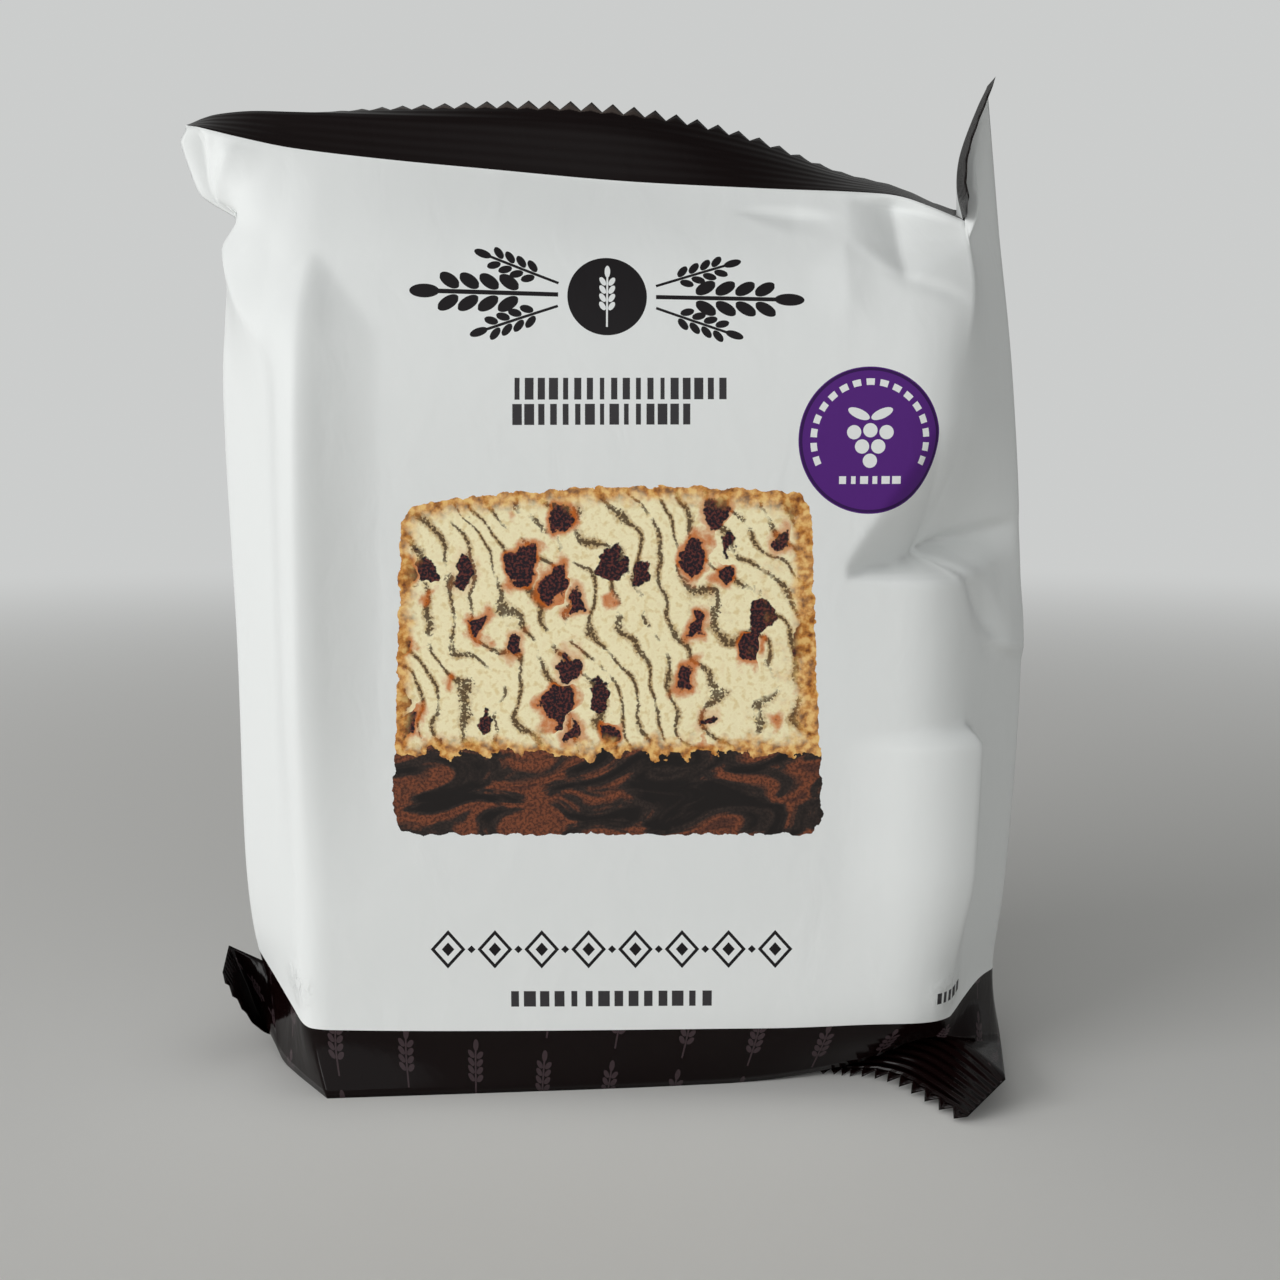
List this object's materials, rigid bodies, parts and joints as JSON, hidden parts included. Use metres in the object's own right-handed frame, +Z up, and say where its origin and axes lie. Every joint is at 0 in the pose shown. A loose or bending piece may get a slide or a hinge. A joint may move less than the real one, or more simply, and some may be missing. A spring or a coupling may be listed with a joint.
{
  "type": "pack of wholemeal bread",
  "caption": "Pillow pack of sliced wholemeal bread in printed film, with a toothed crimp seal and two ears at each end, standing on its lower end.",
  "frame": {"origin": "on the floor under the middle of the pack's bounding box, ears and seals included", "axes": "+Z up along the film tube, front panel faces -Y, +X to the right of the front panel"},
  "size_m": [0.1213, 0.0479, 0.1385],
  "materials": {
    "printed_film": "matte white film with a satin print and near-black glossy ends"
  },
  "bodies": {
    "root": {"pack": "printed_film"}
  },
  "joints": []
}
